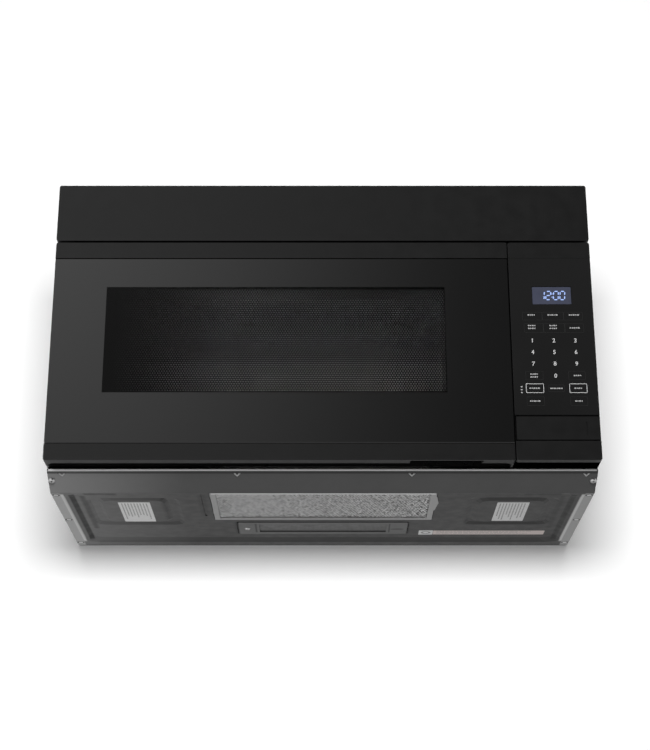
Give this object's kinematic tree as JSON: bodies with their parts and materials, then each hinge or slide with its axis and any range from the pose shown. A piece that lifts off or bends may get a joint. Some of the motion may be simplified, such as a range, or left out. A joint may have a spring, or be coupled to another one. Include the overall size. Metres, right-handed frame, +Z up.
{
  "type": "over the range microwave",
  "caption": "Wide black over the range microwave oven with a side-hung glass door, pocket grip, membrane keypad and a hood filter and lamp in its bevelled underside.",
  "frame": {"origin": "middle of the back face, where the unit lies against the wall", "axes": "+X to the right along the width, +Y back into the wall, +Z up"},
  "size_m": [0.759, 0.38, 0.4354],
  "materials": {
    "black_paint": "semi-gloss black enamel on sheet steel",
    "front_plastic": "black moulded plastic with a soft gloss",
    "black_glass": "black back-printed glass",
    "keypad": "glossy black printed membrane",
    "display": "smoked display window",
    "screen": "black perforated steel",
    "zinc": "zinc plated sheet steel",
    "oven_enamel": "pale oven enamel",
    "dark_plastic": "black plastic",
    "white_plastic": "natural white plastic",
    "clear_glass": "clear heat-proof glass",
    "filter_aluminium": "raw expanded aluminium",
    "charcoal": "charcoal pad in a frame",
    "board": "green circuit board with parts",
    "lamination": "varnished laminations with copper winding",
    "mica": "mica sheet",
    "lamp_glass": "ribbed lamp lens",
    "lamp": "frosted lamp with a plastic socket"
  },
  "bodies": {
    "chassis": {"base_pan": "black_paint", "outer_cover": "black_paint", "rear_panel": "zinc", "rear_vent_cover": "zinc", "vent_panel": "front_plastic", "oven_cavity": "oven_enamel", "cord_gland": "dark_plastic", "hinge_lower": "zinc", "hinge_upper": "zinc", "control_bezel": "front_plastic", "keypad_overlay": "keypad", "display_lens": "display", "access_strip": "front_plastic", "control_board": "board", "display_module": "dark_plastic", "latch_board": "white_plastic", "interlock_switch_1": "dark_plastic", "interlock_switch_2": "dark_plastic", "interlock_switch_3": "dark_plastic", "turntable_motor": "zinc", "bay_floor": "zinc", "bay_shelf": "zinc", "waveguide": "zinc", "waveguide_cover": "mica", "magnetron": "zinc", "hv_transformer": "lamination", "hv_capacitor": "zinc", "capacitor_strap": "zinc", "hv_diode": "dark_plastic", "fan_shroud": "zinc", "fan_motor": "lamination", "cavity_lamp": "lamp", "noise_filter": "board", "thermal_cutout": "zinc", "blower_housing": "zinc", "blower_motor": "zinc", "charcoal_filter": "charcoal", "lamp_housing": "zinc", "cooktop_lamp": "lamp"},
    "door": {"door_frame": "front_plastic", "door_glass": "black_glass", "door_screen": "screen", "door_choke": "screen", "choke_cover": "dark_plastic", "latch_spring": "zinc"},
    "latch": {"latch_lever": "white_plastic"},
    "turntable": {"glass_tray": "clear_glass", "drive_coupler": "white_plastic"},
    "ring": {"roller_ring": "white_plastic"},
    "roller_a": {"roller_1": "white_plastic"},
    "roller_b": {"roller_2": "white_plastic"},
    "roller_c": {"roller_3": "white_plastic"},
    "blower": {"blower_shaft": "zinc", "blower_wheel_left": "dark_plastic", "blower_wheel_right": "dark_plastic"},
    "fan": {"cooling_fan": "dark_plastic"},
    "grease_filter": {"grease_filter_frame": "filter_aluminium", "grease_filter_mesh": "filter_aluminium"},
    "lamp_flap": {"lamp_cover": "black_paint", "lamp_lens": "lamp_glass"}
  },
  "joints": [
    {"name": "door_hinge", "type": "hinge", "parent": "chassis", "child": "door", "pos_m": [-0.368, -0.354, 0], "axis": [0, 0, -1], "range_deg": [0, 95]},
    {"name": "latch_slide", "type": "slide", "parent": "door", "child": "latch", "axis": [0, 0, 1], "range_m": [0, 0.004], "stiffness_N_per_m": 300, "springref_m": -0.002, "deforming": ["latch_spring"]},
    {"name": "turntable_spin", "type": "hinge", "parent": "chassis", "child": "turntable", "pos_m": [-0.07, -0.179, 0], "axis": [0, 0, 1], "continuous": true},
    {"name": "ring_spin", "type": "hinge", "parent": "chassis", "child": "ring", "pos_m": [-0.07, -0.179, 0], "axis": [0, 0, 1], "continuous": true},
    {"name": "roller_a_spin", "type": "hinge", "parent": "ring", "child": "roller_a", "pos_m": [0.025, -0.179, -0.14095], "axis": [1, 0, 0], "continuous": true},
    {"name": "roller_b_spin", "type": "hinge", "parent": "ring", "child": "roller_b", "pos_m": [-0.1175, -0.09673, -0.14095], "axis": [-0.5, 0.866, 0], "continuous": true},
    {"name": "roller_c_spin", "type": "hinge", "parent": "ring", "child": "roller_c", "pos_m": [-0.1175, -0.26127, -0.14095], "axis": [-0.5, -0.866, 0], "continuous": true},
    {"name": "blower_spin", "type": "hinge", "parent": "chassis", "child": "blower", "pos_m": [0, -0.084, 0.15575], "axis": [1, 0, 0], "continuous": true},
    {"name": "fan_spin", "type": "hinge", "parent": "chassis", "child": "fan", "pos_m": [0.292, -0.05, -0.02925], "axis": [0, 1, 0], "continuous": true},
    {"name": "filter_tilt", "type": "hinge", "parent": "chassis", "child": "grease_filter", "pos_m": [-0.1597, -0.22, -0.21245], "axis": [0, 1, 0], "range_deg": [0, 20]},
    {"name": "lamp_flap_swing", "type": "hinge", "parent": "chassis", "child": "lamp_flap", "pos_m": [0.1287, -0.093, -0.21245], "axis": [0, -1, 0], "range_deg": [0, 45]}
  ],
  "couplings": [
    {"joint": "ring_spin", "follows": "turntable_spin", "ratio": 0.5},
    {"joint": "roller_a_spin", "follows": "turntable_spin", "ratio": -5.9375},
    {"joint": "roller_b_spin", "follows": "turntable_spin", "ratio": -5.9375},
    {"joint": "roller_c_spin", "follows": "turntable_spin", "ratio": -5.9375}
  ]
}
